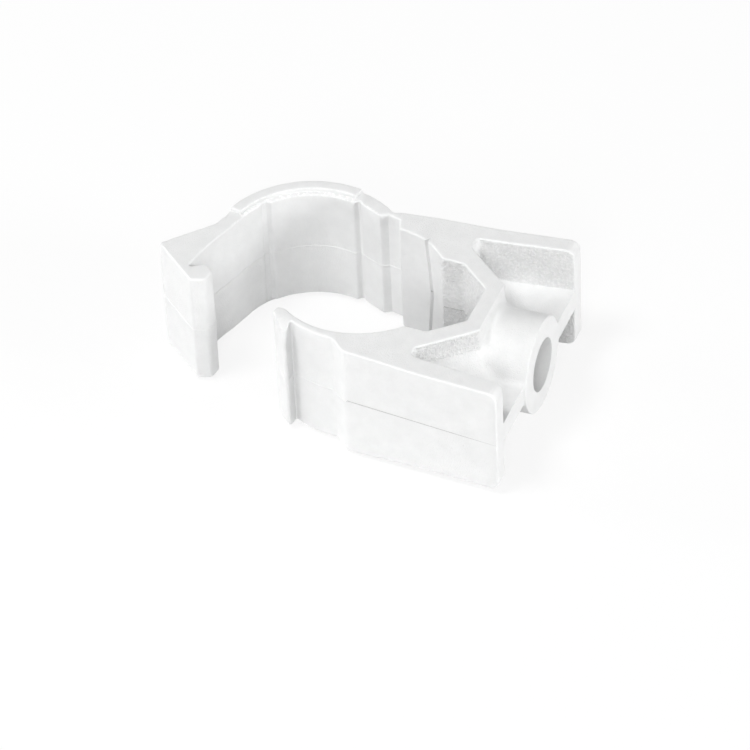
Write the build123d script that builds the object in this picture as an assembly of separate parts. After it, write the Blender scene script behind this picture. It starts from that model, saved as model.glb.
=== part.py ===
from build123d import *
import math
import os

# Pipe clip moulded in one piece, drawn open and lying on its side.
# The wall plane is X = 0 and X points into the wall.
# The pipe runs along Z, and the screw along X at Y = Z = 0.

# Pipe and its seat
pipe_diameter = 15.0
seat_gap = 0.06
pipe_to_wall = 16.5

# Heights along the pipe
arm_height = 11.2
ear_drop = 0.275
slope_start = 13.0
slope_end = 7.5
slope_round = 30.0
draft_angle = 0.5

# Ears that stand on the wall
wall_width = 22.4
ear_end_rise = 0.24
ear_wall = 1.75
ear_wall_near = 2.2
ear_wall_far = 1.9
ear_corner = 0.9
ear_end_round = 1.0

# Screw recess, its V-shaped wall and the pockets behind it
recess_width = 9.6
recess_floor_width = 4.6
recess_floor = 5.85
recess_taper = 2.85
recess_round = 0.5
vee_wall = 1.8
vee_round = 0.8
end_wall = 1.6
apex_width_far = 1.33
apex_width_near = 1.03
apex_round = 0.45

# Web, boss and screw hole
web_thickness = 2.0
web_round = 3.4
boss_diameter = 8.8
boss_proud = 0.2
boss_set_back = 0.32
boss_round = 0.7
boss_end_round = 0.12
screw_hole = 4.9

# Short arm with its snap lip
arm_root_wall = 1.05
arm_tip_wall = 0.7
arm_step_angle = -86.0
arm_step_run = 1.45
step_foot_round = 0.7
step_head_round = 1.5
lip_angle = -127.0
lip_flare = 0.95
lip_rise = 0.2
lip_slant = 0.1
lip_wall = 0.8
lip_root_round = 1.0
barb_angle = -115.8
barb_height = 1.7
barb_chamfer = 0.5
barb_ridge_round = 0.22
barb_foot_round = 0.1

# Far seat and its relief groove
seat_end_angle = 83.8
relief_angle = 61.5
relief_width = 0.45
relief_depth = 0.5
relief_lean = 5.5

# Living hinge
hinge_angle = 92.7
hinge_stand_off = 2.05
hinge_skin = 0.55
hinge_width = 0.7
hinge_round = 0.5
groove_round = 0.15
crest_run = 0.65
crest_height = 0.4
shoulder_run = 1.2
shoulder_fall = 0.33

# Strap, swung open, with a land at the hinge and a slot across its inside
swing = 44.0
strap_bite = 0.78
strap_wall = 1.8
strap_end_angle = 170.0
strap_end_round = 4.0
land_angle = 70.0
land_turn = 5.0
land_step = 0.3
land_groove = 0.55
land_groove_round = 0.15
slot_angle = 144.5
slot_mouth_turn = 4.5
slot_floor_turn = 2.0
slot_depth = 0.35
slot_round = 0.12
tail_angle = 168.0
tail_thinning = 0.15
tail_round = 1.5
throat_round = 0.3

# Raised rim on the outer edge of the strap
rim_rise = 0.35
rim_clear = 0.02
rim_start_angle = 76.0
rim_end_angle = 165.0

# Hook at the end of the strap
hook_angle = 179.5
hook_root_extra = 0.3
hook_root_round = 0.8
hook_kick = 40.5
hook_length = 5.55
hook_flare = -0.1
hook_corner_round = 0.36
hook_end_width = 6.15
hook_throat = 1.7
hook_throat_back = 0.15
hook_sag = 0.18
toe_round = 0.4
nose_reach = 0.75
nose_height = 2.35
nose_undercut = 0.05
nose_depth = 1.35
nose_round = 0.6
notch_depth = 1.8
notch_wall = 0.8
notch_round = 0.15

# Rounding of the moulded edges
edge_round = 0.2
crisp_round = 0.28
corner_round = 0.36

# Length by which a cut or a joined piece runs past the face it meets
overlap = 1.0


def polar(centre, radius, angle):
    """Point at a radius and an angle in degrees about a centre."""
    a = math.radians(angle)
    return Vector(centre.X + radius * math.cos(a), centre.Y + radius * math.sin(a))


def arc(centre, radius, start, end):
    """Arc about a centre from one angle to another, both in degrees."""
    return CenterArc(centre, radius, start, end - start)


def mirror_y(point):
    """The same point on the other side of the screw axis."""
    return Vector(point.X, -point.Y)


def rounded(face, radius, *points):
    """Face with its corners nearest to the points rounded."""
    for point in points:
        corner = face.vertices().sort_by_distance(Vertex(point.X, point.Y, 0))[0]
        face = fillet(corner, radius)
    return face


pipe = Vector(-pipe_to_wall, 0)
half_height = arm_height / 2
half_ear = half_height - ear_drop
half_web = web_thickness / 2

# Seat: the drafted plan is drawn inside its radius, and the straight seat is cut from it
seat_r = pipe_diameter / 2 + seat_gap
core_r = seat_r - arm_height * math.tan(math.radians(draft_angle))

# Far seat and hinge
hinge = polar(pipe, seat_r + hinge_stand_off, hinge_angle)
groove = hinge + Vector(-hinge_width / 2, -hinge_skin)
crest = groove + Vector(-crest_run, -crest_height)
shoulder = groove + Vector(shoulder_run, -shoulder_fall)
seat_end = polar(pipe, core_r, seat_end_angle)

# Ears: their outer faces run from the full width at the wall to just outside the hinge
ear_end = hinge + Vector(hinge_width, ear_end_rise)
ear_slope = (wall_width / 2 - ear_end.Y) / -ear_end.X


def ear_face(x):
    """Distance of an ear's outer face from the screw axis at a place along X."""
    return wall_width / 2 + ear_slope * x


past_wall = Vector(overlap, ear_face(overlap))

# Recess corners
half_recess = recess_width / 2
half_floor = recess_floor_width / 2
recess_angle = math.degrees(math.asin(half_recess / core_r))
recess_far = polar(pipe, core_r, recess_angle)
recess_near = mirror_y(recess_far)
taper_far = Vector(-recess_floor - recess_taper, half_recess)
taper_near = mirror_y(taper_far)
floor_far = Vector(-recess_floor, half_floor)
floor_near = mirror_y(floor_far)

# Lip, barb and the step where the short arm meets its ear
lip_root = polar(pipe, core_r, lip_angle)
lip_tip = polar(pipe, seat_r, lip_angle) + Vector(-lip_flare, lip_rise)
lip_end = lip_tip + Vector(-lip_slant, -lip_wall)
barb_foot = polar(pipe, seat_r + arm_tip_wall, barb_angle)
barb_ridge = barb_foot - Vector(0, barb_height)
step_foot = polar(pipe, seat_r + arm_root_wall, arm_step_angle)
step_head_x = step_foot.X + arm_step_run
step_head = Vector(step_head_x, -ear_face(step_head_x))

# Strap, turned about the hinge
strap_r = seat_r - strap_bite
strap_outer_r = strap_r + strap_wall
strap = polar(hinge, strap_outer_r, hinge_angle + 180 - swing)
strap_end = polar(strap, strap_outer_r, strap_end_angle)
tail_r = strap_r + tail_thinning
slot_r = strap_r + slot_depth
tail = polar(strap, tail_r, tail_angle)
slot_mouth_out = polar(strap, tail_r, slot_angle + slot_mouth_turn)
slot_floor_out = polar(strap, slot_r, slot_angle + slot_floor_turn)
slot_floor_in = polar(strap, slot_r, slot_angle - slot_floor_turn)
slot_mouth_in = polar(strap, strap_r, slot_angle - slot_mouth_turn)
band_end = polar(strap, strap_r, land_angle + land_turn)
land_bottom = polar(strap, strap_r + land_groove, land_angle + land_turn / 2)
land_end = polar(strap, strap_r + land_step, land_angle)

# Hook, set out along its own axis from the end of the strap
hook_root = polar(strap, strap_outer_r + hook_root_extra, hook_angle)
hook_axis = hook_angle + 90 - hook_kick
hook_toe_across = hook_flare + hook_end_width
nose_back_along = hook_length - nose_height


def on_hook(along, across):
    """Point on the hook, along its axis from the root and across it towards the pipe."""
    return polar(polar(hook_root, along, hook_axis), across, hook_axis + 90)


hook_corner = on_hook(hook_length, hook_flare)
hook_toe = on_hook(hook_length, hook_toe_across)
nose_tip = on_hook(hook_length - nose_height / 2, hook_toe_across + nose_reach)
nose_top = on_hook(nose_back_along, hook_toe_across - nose_undercut)
nose_back = on_hook(nose_back_along, hook_toe_across - nose_depth)
notch = on_hook(hook_length - notch_wall, hook_toe_across - notch_depth)
hook_inner = on_hook(-hook_throat_back, hook_throat)
hook_middle = polar((notch + hook_inner) / 2, hook_sag, hook_axis - 90)

outline = Curve() + [
    Line(mirror_y(past_wall), past_wall),
    Line(past_wall, ear_end),
    Line(ear_end, hinge),
    arc(strap, strap_outer_r, hinge_angle - swing, strap_end_angle),
    Line(strap_end, hook_root),
    Line(hook_root, hook_corner),
    Line(hook_corner, hook_toe),
    Line(hook_toe, nose_tip),
    Line(nose_tip, nose_top),
    Line(nose_top, nose_back),
    Line(nose_back, notch),
    ThreePointArc(notch, hook_middle, hook_inner),
    Line(hook_inner, tail),
    arc(strap, tail_r, tail_angle, slot_angle + slot_mouth_turn),
    Line(slot_mouth_out, slot_floor_out),
    Line(slot_floor_out, slot_floor_in),
    Line(slot_floor_in, slot_mouth_in),
    arc(strap, strap_r, slot_angle - slot_mouth_turn, land_angle + land_turn),
    Line(band_end, land_bottom),
    Line(land_bottom, land_end),
    Line(land_end, crest),
    Line(crest, groove),
    Line(groove, shoulder),
    Line(shoulder, seat_end),
    arc(pipe, core_r, seat_end_angle, recess_angle),
    Line(recess_far, taper_far),
    Line(taper_far, floor_far),
    Line(floor_far, floor_near),
    Line(floor_near, taper_near),
    Line(taper_near, recess_near),
    arc(pipe, core_r, -recess_angle, lip_angle),
    Line(lip_root, lip_tip),
    Line(lip_tip, lip_end),
    Line(lip_end, barb_ridge),
    Line(barb_ridge, barb_foot),
    RadiusArc(barb_foot, step_foot, -(seat_r + arm_root_wall)),
    Line(step_foot, step_head),
    Line(step_head, mirror_y(past_wall)),
]
plan = make_face(outline)
plan = rounded(plan, ear_end_round, ear_end)
plan = rounded(plan, hinge_round, hinge)
plan = rounded(plan, strap_end_round, strap_end)
plan = rounded(plan, hook_root_round, hook_root)
plan = rounded(plan, hook_corner_round, hook_corner)
plan = rounded(plan, toe_round, hook_toe, nose_back)
plan = rounded(plan, nose_round, nose_tip, nose_top)
plan = rounded(plan, notch_round, notch)
plan = rounded(plan, throat_round, hook_inner)
plan = rounded(plan, tail_round, tail)
plan = rounded(plan, crisp_round, slot_mouth_out, slot_mouth_in)
plan = rounded(plan, slot_round, slot_floor_out, slot_floor_in)
plan = rounded(plan, corner_round, band_end, land_end)
plan = rounded(plan, land_groove_round, land_bottom)
plan = rounded(plan, crisp_round, crest, shoulder)
plan = rounded(plan, groove_round, groove)
plan = rounded(plan, recess_round, taper_far, floor_far, taper_near, floor_near)
plan = rounded(plan, corner_round, lip_tip, lip_end)
plan = rounded(plan, barb_ridge_round, barb_ridge)
plan = rounded(plan, barb_foot_round, barb_foot)
plan = rounded(plan, step_foot_round, step_foot)
plan = rounded(plan, step_head_round, step_head)

# Upper half of the moulding, its walls drawn in by the draft from the parting plane upwards
tall = extrude(plan, half_height + rim_rise)
walls = tall.faces().filter_by(lambda f: abs(f.normal_at().Z) < 0.01)
tall = draft(walls, Plane.XY, draft_angle)

# Side view: the ears are a little lower than the arms, with rounded corners at the wall
far_x = -4 * pipe_to_wall
side = FilletPolyline(
    (0, -half_ear),
    (0, half_ear),
    (-slope_end, half_ear),
    (-slope_start, half_height),
    (far_x, half_height),
    (far_x, -half_height),
    (-slope_start, -half_height),
    (-slope_end, -half_ear),
    radius=[ear_corner, ear_corner, slope_round, slope_round, 0, 0, slope_round, slope_round],
    close=True,
)
half = tall & extrude(Plane.XZ * make_face(side), wall_width, both=True)

# Straight seat for the pipe, with its upright edges rounded
half = half - Pos(pipe) * extrude(Circle(seat_r), half_height)


def seat_edge(shape, point):
    """Upright edge of the seat nearest to a point of the plan."""
    seats = shape.faces().filter_by(GeomType.CYLINDER).filter_by(lambda f: abs(f.radius - seat_r) < 1e-4)
    edges = [e for f in seats for e in f.edges() if e.bounding_box().size.Z > half_height / 2]
    return ShapeList(edges).sort_by_distance(Vertex(point.X, point.Y, 0))[0]


half = fillet(seat_edge(half, seat_end), corner_round)
half = fillet(seat_edge(half, recess_far), recess_round)
half = fillet(seat_edge(half, recess_near), recess_round)
half = fillet(seat_edge(half, lip_root), lip_root_round)

# Pocket above the web, between the ears and the V-shaped wall
vee_out = (floor_far - taper_far).normalized().rotate(Axis.Z, 90)
vee_foot = floor_far + vee_out * vee_wall
vee_slope = vee_out.X / vee_out.Y
vee_x = -recess_floor + end_wall
vee_corner = Vector(vee_x, vee_foot.Y - (vee_x - vee_foot.X) * vee_slope)


def pocket_side(apex_wall, apex_width):
    """Pocket's corners at one ear: past the wall plane, then the apex at the ear and at the V wall."""
    clear = ear_face(vee_foot.X) - apex_wall - vee_foot.Y
    apex_x = vee_foot.X - (clear - apex_width) / (vee_slope + ear_slope)
    apex_y = ear_face(apex_x) - apex_wall
    wall_y = ear_face(0) - ear_wall
    past_y = wall_y + (wall_y - apex_y) * overlap / -apex_x
    return Vector(overlap, past_y), Vector(apex_x, apex_y), Vector(apex_x, apex_y - apex_width)


far_mouth, far_apex, far_vee = pocket_side(ear_wall_far, apex_width_far)
near_mouth, near_apex, near_vee = pocket_side(ear_wall_near, apex_width_near)
pocket_plan = Polyline(
    far_mouth,
    far_apex,
    far_vee,
    vee_corner,
    mirror_y(vee_corner),
    mirror_y(near_vee),
    mirror_y(near_apex),
    mirror_y(near_mouth),
    close=True,
)
pocket_face = make_face(pocket_plan)
pocket_face = rounded(pocket_face, apex_round, far_apex, far_vee)
pocket_face = rounded(pocket_face, apex_round, mirror_y(near_apex), mirror_y(near_vee))
pocket_face = rounded(pocket_face, vee_round, vee_corner, mirror_y(vee_corner))
pocket = extrude(Plane.XY.offset(half_web) * pocket_face, arm_height)

# Cove where the V-shaped wall runs down to the web
cove = make_face(
    Curve()
    + [
        Line((vee_round, 0), (vee_round + web_round, 0)),
        CenterArc((vee_round + web_round, web_round), web_round, 270, -90),
        Line((vee_round, web_round), (vee_round, 0)),
    ]
)
vee_run = (far_vee - vee_corner).length + overlap
vee_angle = math.degrees(math.atan2(vee_out.Y, vee_out.X))
turn = vee_corner - (Vector(1, 0) + vee_out) * (vee_round / (1 + vee_out.X))


def cove_plane(angle):
    """Upright plane at the V wall's corner, its X pointing out at an angle and its Y pointing up."""
    return Plane(
        origin=(turn.X, turn.Y, half_web),
        x_dir=polar(Vector(0, 0), 1, angle),
        z_dir=polar(Vector(0, 0), 1, angle - 90),
    )


end_cove = extrude(cove_plane(0) * cove, 2 * turn.Y)
far_cove = extrude(cove_plane(vee_angle) * cove, -vee_run)
near_cove = mirror(far_cove, Plane.XZ)
far_turn = revolve(cove_plane(0) * cove, Axis((turn.X, turn.Y, 0), (0, 0, 1)), vee_angle)
near_turn = mirror(far_turn, Plane.XZ)
half = half - (pocket - end_cove - far_cove - near_cove - far_turn - near_turn)


def top_edges(shape):
    """Edges all round the faces that look up at the height of the arms and ears."""
    faces = shape.faces().filter_by(lambda f: f.normal_at().Z > 0.95 and f.center().Z > half_ear - edge_round)
    edges = [e for f in faces for e in f.edges()]
    return [e for e in edges if sum(o.is_same(e) for o in edges) == 1]


half = fillet(top_edges(half), edge_round)

# Raised rim along the strap
rim_inner_r = strap_r + land_groove + rim_clear
rim_past_r = strap_outer_r + overlap
rim_outline = Curve() + [
    arc(strap, rim_past_r, rim_start_angle, rim_end_angle),
    Line(polar(strap, rim_past_r, rim_end_angle), polar(strap, rim_inner_r, rim_end_angle)),
    arc(strap, rim_inner_r, rim_end_angle, rim_start_angle),
    Line(polar(strap, rim_inner_r, rim_start_angle), polar(strap, rim_past_r, rim_start_angle)),
]
rim = tall & extrude(Plane.XY.offset(half_height - overlap) * make_face(rim_outline), overlap + rim_rise)
rim = fillet(top_edges(rim), edge_round)
half = half + rim

# Sloped end of the barb
barb_line = lip_end - barb_foot
barb_depth = abs(barb_line.cross(barb_ridge - barb_foot).Z) / barb_line.length
barb_slope = make_face(
    Polyline(
        (0, half_height),
        (2 * barb_depth, half_height - 2 * barb_chamfer),
        (2 * barb_depth, half_height + overlap),
        (0, half_height + overlap),
        close=True,
    )
)
barb_way = barb_line.normalized()
barb_plane = Plane(origin=barb_foot, x_dir=barb_way.rotate(Axis.Z, 90), z_dir=barb_way)
half = half - extrude(barb_plane * barb_slope, barb_line.length + overlap, both=True)


def relief(z, angle):
    """Section of the relief groove in the far seat at a height."""
    half_turn = math.degrees(relief_width / 2 / seat_r)
    corners = Polyline(
        polar(pipe, seat_r, angle + half_turn),
        polar(pipe, seat_r + relief_depth, angle),
        polar(pipe, seat_r, angle - half_turn),
        polar(pipe, seat_r - relief_depth, angle),
        close=True,
    )
    return Plane.XY.offset(z) * make_face(corners)


half = half - loft([relief(0, relief_angle - relief_lean), relief(half_height + overlap, relief_angle)])

# Screw boss on the web, rounded where it meets the web and the V-shaped wall
boss_r = boss_diameter / 2
boss_length = recess_floor - boss_set_back + boss_proud
boss_end = Plane.YZ.offset(boss_proud)
boss = extrude(boss_end * Circle(boss_r), -boss_length)
boss = fillet(boss.edges().sort_by(Axis.X)[-1], boss_end_round)
half = half + split(boss, Plane.XY, Keep.TOP)


def on_boss(edge):
    """Whether an edge lies on the boss above the parting plane, between the recess and the wall."""
    points = [edge @ t for t in (0.2, 0.5, 0.8)]
    on_round = all(abs(math.hypot(p.Y, p.Z) - boss_r) < 0.02 for p in points)
    return on_round and points[1].Z > half_web / 2 and -recess_floor < points[1].X < -boss_proud


half = fillet([e for e in half.edges() if on_boss(e)], boss_round)

# Both halves, and the screw hole through them
body = half + mirror(half, Plane.XY)
body = body - extrude(boss_end * Circle(screw_hole / 2), -2 * boss_length, both=True)

os.makedirs("parts", exist_ok=True)
export_step(body, "parts/clip_body.step")
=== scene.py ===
import math

import bpy
import numpy as np
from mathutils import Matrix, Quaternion, Vector


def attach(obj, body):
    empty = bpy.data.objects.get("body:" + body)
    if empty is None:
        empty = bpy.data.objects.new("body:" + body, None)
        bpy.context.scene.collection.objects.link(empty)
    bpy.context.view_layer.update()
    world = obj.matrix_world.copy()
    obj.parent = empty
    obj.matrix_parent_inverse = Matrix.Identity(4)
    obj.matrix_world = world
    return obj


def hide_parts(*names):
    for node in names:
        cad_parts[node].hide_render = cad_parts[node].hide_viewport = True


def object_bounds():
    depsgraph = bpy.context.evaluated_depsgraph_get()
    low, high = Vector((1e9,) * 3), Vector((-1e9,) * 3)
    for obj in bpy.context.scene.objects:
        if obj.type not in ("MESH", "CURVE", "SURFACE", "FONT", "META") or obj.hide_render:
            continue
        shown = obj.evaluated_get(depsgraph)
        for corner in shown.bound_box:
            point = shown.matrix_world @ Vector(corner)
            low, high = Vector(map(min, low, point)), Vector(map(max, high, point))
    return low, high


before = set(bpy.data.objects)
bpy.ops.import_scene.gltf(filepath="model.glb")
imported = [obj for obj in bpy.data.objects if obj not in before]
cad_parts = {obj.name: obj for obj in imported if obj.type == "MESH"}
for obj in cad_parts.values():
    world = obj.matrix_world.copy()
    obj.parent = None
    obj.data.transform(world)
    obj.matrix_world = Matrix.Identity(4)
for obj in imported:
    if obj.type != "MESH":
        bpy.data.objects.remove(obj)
cad_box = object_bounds()

# Sizes are in millimetres and become metres through this factor
MM = 0.001

# Camera: where it stands round the clip, what it aims at, its lens, and how near and far it sees,
# as shares of its distance
view_azimuth = 22.379
view_elevation = 39.879
view_roll = -2.755
view_distance = 404.09 * MM
view_aim = Vector((-13.156, -5.813, 0.0)) * MM
view_lens = 223.66
view_near = 0.05
view_far = 50

# Light: a lamp's level is the share of white that a white face turned to it sends back,
# and level 1 is seen as white
white = (1.0, 1.0, 1.0, 1.0)
seen_level = 1.0
sky_level = 0.1
floor_reach = 4000 * MM
floor_white = (0.96, 0.96, 0.96, 1.0)
floor_bounce = (0.93, 0.93, 0.93, 1.0)
floor_glow = 0.85
lamp_distance = 600 * MM
lamp_size = 180 * MM

# Soft lamps: degrees round the clip, degrees up and level
lamps = {
    "left_high_softbox": (-45, 65, 0.58),
    "left_low_softbox": (-90, 15, 0.29),
    "left_front_softbox": (-30, 15, 0.11),
    "right_front_softbox": (15, 30, 0.34),
    "right_low_softbox": (90, 15, 0.58),
}

# Tones of the moulding: two whites mottled into each other, the painted shadow grey of the near ear's
# parting line, as from a step between the mould's halves, and the white of the flecks, painted glints
# that fade in over a stretch of the spark noise and are weaker on sparked walls
plastic_bright = (0.86, 0.863, 0.862, 1.0)
plastic_dull = (0.765, 0.769, 0.769, 1.0)
seam_painted_shadow = (0.48, 0.48, 0.48, 1.0)
painted_glint_white = (0.93, 0.93, 0.93, 1.0)
fleck_start = 0.47
fleck_full = 0.62
sparked_flecks = 0.7

# Gloss of the moulding: plain, added by the mottle, and added on sparked walls
satin_roughness = 0.4
mottle_roughness = 0.1
spark_roughness = 0.16

# Mottle, grain and spark texture: size in millimetres, height as a share of the relief, and how fine
# the noise goes
mottle_size = 1.3
mottle_detail = 4.0
grain_size = 0.11
grain_height = 0.6
grain_detail = 2.0
spark_size = 0.26
spark_height = 2.4
spark_detail = 3.0
spark_harshness = 0.65
relief_depth = 0.12

# Light that the plastic lets in and scatters: its share, its depth in millimetres and its spread
# in red, green and blue
scatter_weight = 0.1
scatter_depth = 0.3
scatter_spread = (1.0, 1.0, 1.0)

# Mesh: the angle past which an edge stays sharp, and the step in metres within which two vertices are one
smooth_angle = math.radians(32)
weld_step = 1e-7

# Walls that the mould leaves rough, in millimetres: the pockets, the sides of the screw recess
# and the ledge inside the strap's rim, which gets painted glints
pocket_end = -9.2
vee_end = -4.0
ear_inside = 7.0
recess_start = -12.5
recess_end = -5.0
recess_side = 5.2
strap_place = (-22.616, 3.153)
ledge_reach = 7.45

# How squarely such a wall faces its way, as the part of its normal that points there
upright_limit = 0.3
ear_facing = 0.9
vee_facing = 0.5
recess_facing = 0.6
ledge_facing = 0.5

# Parting line, in millimetres: how far it stands out of the wall and reaches into it, its width,
# its height above mid-height, and its heights at the two ends of the near ear
seam_rise = 0.045
seam_sink = 0.02
seam_width = 0.13
seam_height = -0.1
ear_seam = (0.2, -0.22)

# Wander of the parting line: its height and length in millimetres, the skew of its first wave,
# and the second wave's share and pace
seam_wander = 0.035
seam_wave = 2.1
first_skew = 1.7
second_share = 0.6
second_pace = 2.3

# Where the parting line stops, in millimetres: half the width kept clear at the screw hole, and how
# far short of the wall face
bore_clear = 2.7
wall_clear = 0.1

# A vertex this near to mid-height, in metres, is on the outline that the parting line follows
level_limit = 10 * weld_step

# Where the parting line carries painted shadow: from this place on, on walls that face the near side this
# squarely
shaded_start = -14.4
shaded_facing = 0.95


def wired(tree, kind, inputs=None, **settings):
    """New node in a tree: settings go on it, inputs are values or output sockets by name or number."""
    node = tree.nodes.new(kind)
    for name, value in settings.items():
        setattr(node, name, value)
    for name, value in (inputs or {}).items():
        socket = node.inputs[name]
        if isinstance(value, bpy.types.NodeSocket):
            tree.links.new(value, socket)
        else:
            socket.default_value = value
    return node


def calculated(tree, operation, *values):
    """Output of a math node that works on one to three values or sockets."""
    return wired(tree, "ShaderNodeMath", dict(enumerate(values)), operation=operation).outputs[0]


def mixed(tree, share, first, second):
    """Colour between two colours, by a share of the second."""
    inputs = {"Factor": share, "A": first, "B": second}
    return wired(tree, "ShaderNodeMix", inputs, data_type="RGBA").outputs["Result"]


def noise(tree, place, size, detail, **inputs):
    """Noise with lumps of a size in millimetres."""
    inputs.update(Vector=place, Scale=1 / (size * MM), Detail=detail)
    return wired(tree, "ShaderNodeTexNoise", inputs).outputs["Fac"]


def marked(tree, name):
    """Value of a mesh attribute."""
    return wired(tree, "ShaderNodeAttribute", attribute_name=name).outputs["Fac"]


def welded_copy(node, name):
    """Copy of a CAD node's mesh with the vertices that share a place made one."""
    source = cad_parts[node].data
    points = np.empty(len(source.vertices) * 3)
    source.vertices.foreach_get("co", points)
    points = points.reshape(-1, 3)
    corners = np.empty(len(source.loops), np.int64)
    source.loops.foreach_get("vertex_index", corners)
    steps = np.round(points / weld_step)
    first, back = np.unique(steps, axis=0, return_index=True, return_inverse=True)[1:]
    triangles = back.reshape(-1)[corners].reshape(-1, 3)
    whole = (triangles != np.roll(triangles, 1, axis=1)).all(axis=1)
    mesh = bpy.data.meshes.new(name)
    mesh.from_pydata(points[first], [], triangles[whole])
    mesh.validate()
    return mesh


def sharpen(mesh, angle):
    """Smooth shading, broken where two faces meet at more than an angle."""
    mesh.polygons.foreach_set("use_smooth", np.ones(len(mesh.polygons), bool))
    mesh.set_sharp_from_angle(angle=angle)


def faces_of(mesh):
    """Centres in millimetres and normals of a mesh's faces, as arrays."""
    centres = np.empty(len(mesh.polygons) * 3)
    normals = np.empty(len(mesh.polygons) * 3)
    mesh.polygons.foreach_get("center", centres)
    mesh.polygons.foreach_get("normal", normals)
    return centres.reshape(-1, 3) / MM, normals.reshape(-1, 3)


def mark(mesh, name, domain, where):
    """Attribute that is 1 on the faces or points where an array is true, and 0 elsewhere."""
    mesh.attributes.new(name, "FLOAT", domain).data.foreach_set("value", where.astype(np.float32))


def mark_rough_walls(mesh):
    """Face attributes: "sparked" is 1 on upright walls that face into a pocket or across the screw recess.

    The second attribute marks painted glints: it is 1 on the narrow ledge inside the strap's rim, which
    looks up or down near the strap's centre.
    """
    centres, normals = faces_of(mesh)
    x, y = centres[:, 0], centres[:, 1]
    up_or_down = np.abs(normals[:, 2])
    outward = normals[:, 1] * np.sign(y)
    ears = (outward < -ear_facing) & (np.abs(y) > ear_inside) & (x > pocket_end)
    vee = (normals[:, 0] > vee_facing) & (outward > vee_facing) & (x > pocket_end) & (x < vee_end)
    recess = (outward < -recess_facing) & (np.abs(y) < recess_side)
    recess &= (x > recess_start) & (x < recess_end)
    ledge = np.hypot(x - strap_place[0], y - strap_place[1]) < ledge_reach
    ledge &= (up_or_down > ledge_facing) & (y > strap_place[1])
    mark(mesh, "sparked", "FACE", (ears | vee | recess) & (up_or_down < upright_limit))
    mark(mesh, "painted_glint_ledge", "FACE", ledge)


def plastic():
    """White satin plastic: soft mottle in tone and gloss, and fine grain all over, coarser on sparked walls.

    Sparked walls and the ledge inside the rim carry pale flecks, which are painted glints. The shaded
    stretch of the parting line is painted grey, a painted shadow as from a step between the mould's halves.
    """
    material = bpy.data.materials.new("satin_plastic")
    material.use_nodes = True
    tree = material.node_tree
    shader = tree.nodes["Principled BSDF"]
    place = wired(tree, "ShaderNodeTexCoord").outputs["Object"]
    sparked = marked(tree, "sparked")
    mottle = noise(tree, place, mottle_size, mottle_detail)
    grain = noise(tree, place, grain_size, grain_detail)
    spark = noise(tree, place, spark_size, spark_detail, Roughness=spark_harshness)

    # Painted glints: pale flecks where the spark noise runs high, weaker on sparked walls and full on the
    # rim's ledge
    fade = {"Value": spark, "From Min": fleck_start, "From Max": fleck_full}
    fleck = wired(tree, "ShaderNodeMapRange", fade).outputs["Result"]
    flecked = calculated(tree, "MULTIPLY_ADD", sparked, sparked_flecks, marked(tree, "painted_glint_ledge"))
    painted_glints = calculated(tree, "MULTIPLY", fleck, flecked)
    tone = mixed(tree, mottle, plastic_dull, plastic_bright)
    tone = mixed(tree, painted_glints, tone, painted_glint_white)
    # Painted shadow: the near ear's stretch of the parting line is darkened to grey
    tone = mixed(tree, marked(tree, "shaded"), tone, seam_painted_shadow)

    gloss = calculated(tree, "MULTIPLY_ADD", mottle, mottle_roughness, satin_roughness)
    gloss = calculated(tree, "MULTIPLY_ADD", sparked, spark_roughness, gloss)

    fine = calculated(tree, "MULTIPLY", grain, grain_height)
    coarse = calculated(tree, "MULTIPLY", spark, spark_height)
    height = calculated(tree, "MULTIPLY_ADD", coarse, sparked, fine)
    relief = wired(tree, "ShaderNodeBump", {"Height": height, "Distance": relief_depth * MM})

    tree.links.new(tone, shader.inputs["Base Color"])
    tree.links.new(gloss, shader.inputs["Roughness"])
    tree.links.new(relief.outputs[0], shader.inputs["Normal"])
    shader.inputs["Subsurface Weight"].default_value = scatter_weight
    shader.inputs["Subsurface Radius"].default_value = scatter_spread
    shader.inputs["Subsurface Scale"].default_value = scatter_depth * MM
    return material


def seam_places(mesh):
    """Points of the outline where the mould's halves meet, the way out of the wall there, and their edges.

    The points are the mesh's vertices at mid-height, off the screw hole and the wall face. The way out at
    a point is the sum of the normals of the faces round it, laid level and made a unit long.
    """
    points = np.empty(len(mesh.vertices) * 3)
    mesh.vertices.foreach_get("co", points)
    points = points.reshape(-1, 3)
    edges = np.empty(len(mesh.edges) * 2, np.int64)
    mesh.edges.foreach_get("vertices", edges)
    edges = edges.reshape(-1, 2)
    corners = np.empty(len(mesh.loops), np.int64)
    mesh.loops.foreach_get("vertex_index", corners)
    level = np.abs(points[:, 2]) < level_limit
    bore = (np.abs(points[:, 1]) < bore_clear * MM) & (points[:, 0] > recess_start * MM)
    level &= ~bore & (points[:, 0] < -wall_clear * MM)
    edges = edges[level[edges].all(axis=1)]
    out = np.zeros_like(points)
    np.add.at(out, corners, np.repeat(faces_of(mesh)[1], 3, axis=0))
    out[:, 2] = 0
    used, edges = np.unique(edges, return_inverse=True)
    out = out[used] / np.linalg.norm(out[used], axis=1, keepdims=True)
    return points[used], out, edges.reshape(-1, 2)


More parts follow.
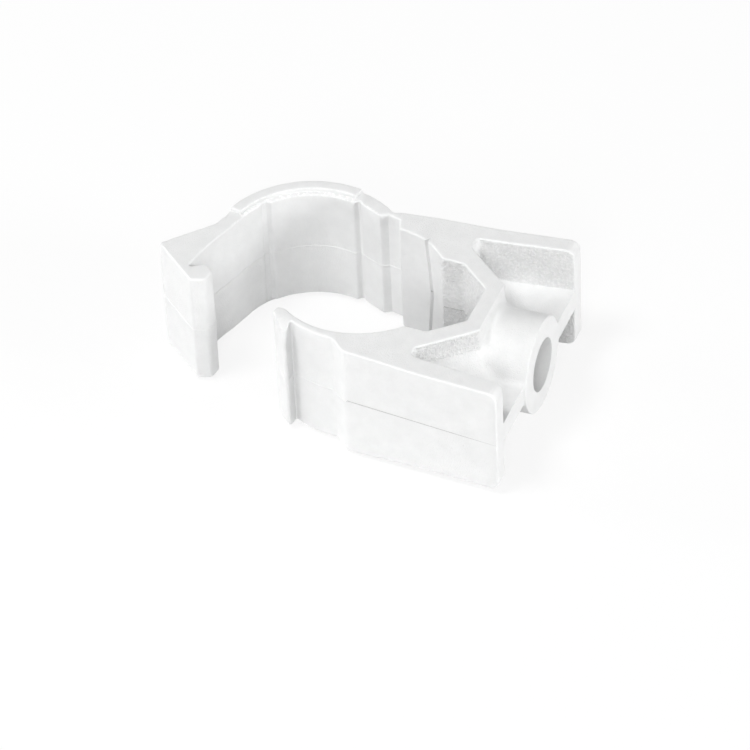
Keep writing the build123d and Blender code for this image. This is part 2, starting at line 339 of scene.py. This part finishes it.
def parting_line(mesh, material):
    """Fine bead along the outline: a three-cornered profile carried along it, its back sunk in the wall.

    At each point the profile's corners are half a width above and below, behind the wall's face, and
    a rise out of it in the middle. The height falls evenly along the near ear, is level elsewhere, and
    wanders by the sum of two sines of the place.
    """
    places, out, edges = seam_places(mesh)
    # The near ear's stretch: the parting line's height falls along it, and it is painted grey as shadow
    shaded = (places[:, 0] > shaded_start * MM) & (out[:, 1] < -shaded_facing)
    along_ear = np.interp(places[:, 0] / MM, (shaded_start, 0), ear_seam)
    x, y = places[:, 0] / (seam_wave * MM), places[:, 1] / (seam_wave * MM)
    wander = np.sin(x + first_skew * y) + second_share * np.sin(second_pace * x - y)
    height = np.where(shaded, along_ear, seam_height) + seam_wander * wander
    lift = np.array([1, 0, -1]) * seam_width / 2
    stand = np.array([-seam_sink, seam_rise, -seam_sink])
    profile = places[:, None, :] + out[:, None, :] * stand[None, :, None] * MM
    profile[:, :, 2] += (height[:, None] + lift[None, :]) * MM
    profile = np.clip(profile, np.array(cad_box[0]), np.array(cad_box[1]))
    ahead = places[edges[:, 1]] - places[edges[:, 0]]
    side = ahead[:, 0] * out[edges[:, 0], 1] - ahead[:, 1] * out[edges[:, 0], 0]
    edges = np.where(side[:, None] > 0, edges[:, ::-1], edges)
    corner = np.arange(3)
    start, end = edges[:, :1] * 3 + corner, edges[:, 1:] * 3 + corner
    start_next, end_next = np.roll(start, -1, axis=1), np.roll(end, -1, axis=1)
    sides = np.stack([start, start_next, end_next, end], axis=2).reshape(-1, 4)
    first = np.setdiff1d(edges[:, 0], edges[:, 1])[:, None] * 3 + corner[::-1]
    last = np.setdiff1d(edges[:, 1], edges[:, 0])[:, None] * 3 + corner
    bead = bpy.data.meshes.new("parting_line")
    bead.from_pydata(profile.reshape(-1, 3), [], sides.tolist() + first.tolist() + last.tolist())
    # Painted shadow: the near ear's stretch of the bead is marked to be painted grey
    mark(bead, "shaded", "POINT", np.repeat(shaded, 3))
    sharpen(bead, smooth_angle)
    bead.materials.append(material)
    piece = bpy.data.objects.new("parting_line", bead)
    bpy.context.scene.collection.objects.link(piece)
    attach(piece, "root")


def moulding(material):
    """The clip's body: the welded CAD mesh with even shading and its rough walls marked."""
    mesh = welded_copy("clip_body", "clip_moulding")
    sharpen(mesh, smooth_angle)
    mark_rough_walls(mesh)
    mesh.materials.append(material)
    piece = bpy.data.objects.new("clip_moulding", mesh)
    bpy.context.scene.collection.objects.link(piece)
    weighted = piece.modifiers.new("even_shading", "WEIGHTED_NORMAL")
    weighted.keep_sharp = True
    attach(piece, "root")
    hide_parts("clip_body")
    return mesh


def white_to_the_eye(tree):
    """Light path mask: 1 for rays from the camera and for those seen in gloss or through glass."""
    path = wired(tree, "ShaderNodeLightPath").outputs
    mirrored = calculated(tree, "MAXIMUM", path["Is Glossy Ray"], path["Is Transmission Ray"])
    return calculated(tree, "MAXIMUM", path["Is Camera Ray"], mirrored)


def sky():
    """Even soft light from all round, white where it is seen."""
    world = bpy.data.worlds.new("soft_sky")
    world.use_nodes = True
    tree = world.node_tree
    tree.nodes.clear()
    lit = wired(tree, "ShaderNodeBackground", {"Color": white, "Strength": sky_level})
    seen = wired(tree, "ShaderNodeBackground", {"Color": white, "Strength": seen_level})
    eye = white_to_the_eye(tree)
    both = wired(tree, "ShaderNodeMixShader", {0: eye, 1: lit.outputs[0], 2: seen.outputs[0]})
    wired(tree, "ShaderNodeOutputWorld", {"Surface": both.outputs[0]})
    bpy.context.scene.world = world


def floor():
    """White floor under the clip, with the shadow on it thinned where it is seen."""
    reach, height = floor_reach, cad_box[0].z
    near_corners = [(-reach, -reach, height), (reach, -reach, height)]
    far_corners = [(reach, reach, height), (-reach, reach, height)]
    mesh = bpy.data.meshes.new("floor")
    mesh.from_pydata(near_corners + far_corners, [], [(0, 1, 2, 3)])
    material = bpy.data.materials.new("white_floor")
    material.use_nodes = True
    tree = material.node_tree
    tree.nodes.clear()
    eye = white_to_the_eye(tree)
    lit = wired(tree, "ShaderNodeBsdfDiffuse", {"Color": mixed(tree, eye, floor_bounce, floor_white)})
    seen = wired(tree, "ShaderNodeEmission", {"Color": white, "Strength": seen_level})
    share = calculated(tree, "MULTIPLY", eye, floor_glow)
    both = wired(tree, "ShaderNodeMixShader", {0: share, 1: lit.outputs[0], 2: seen.outputs[0]})
    wired(tree, "ShaderNodeOutputMaterial", {"Surface": both.outputs[0]})
    mesh.materials.append(material)
    piece = bpy.data.objects.new("floor", mesh)
    bpy.context.scene.collection.objects.link(piece)


def direction(azimuth, elevation):
    """Unit vector from the clip towards a place round it, in degrees: azimuth 0 is on the -Y side."""
    a, e = math.radians(azimuth), math.radians(elevation)
    return Vector((math.sin(a) * math.cos(e), -math.cos(a) * math.cos(e), math.sin(e)))


def softbox(name, azimuth, elevation, level):
    """Square soft lamp turned to the clip."""
    lamp = bpy.data.lights.new(name, "AREA")
    lamp.size = lamp_size
    lamp.energy = level * (math.pi * lamp_distance) ** 2
    piece = bpy.data.objects.new(name, lamp)
    bpy.context.scene.collection.objects.link(piece)
    away = direction(azimuth, elevation)
    piece.location = view_aim + away * lamp_distance
    piece.rotation_mode = "QUATERNION"
    piece.rotation_quaternion = (-away).to_track_quat("-Z", "Y")


def camera():
    """Camera at the photograph's angle."""
    data = bpy.data.cameras.new("camera")
    data.lens = view_lens
    data.clip_start = view_distance * view_near
    data.clip_end = view_distance * view_far
    piece = bpy.data.objects.new("camera", data)
    bpy.context.scene.collection.objects.link(piece)
    away = direction(view_azimuth, view_elevation)
    piece.location = view_aim + away * view_distance
    piece.rotation_mode = "QUATERNION"
    level = (-away).to_track_quat("-Z", "Y")
    piece.rotation_quaternion = level @ Quaternion((0, 0, 1), math.radians(view_roll))
    bpy.context.scene.camera = piece


white_plastic = plastic()
clip = moulding(white_plastic)
parting_line(clip, white_plastic)
floor()
sky()
for lamp_name, lamp_setting in lamps.items():
    softbox(lamp_name, *lamp_setting)
camera()
bpy.context.scene.view_settings.view_transform = "Standard"
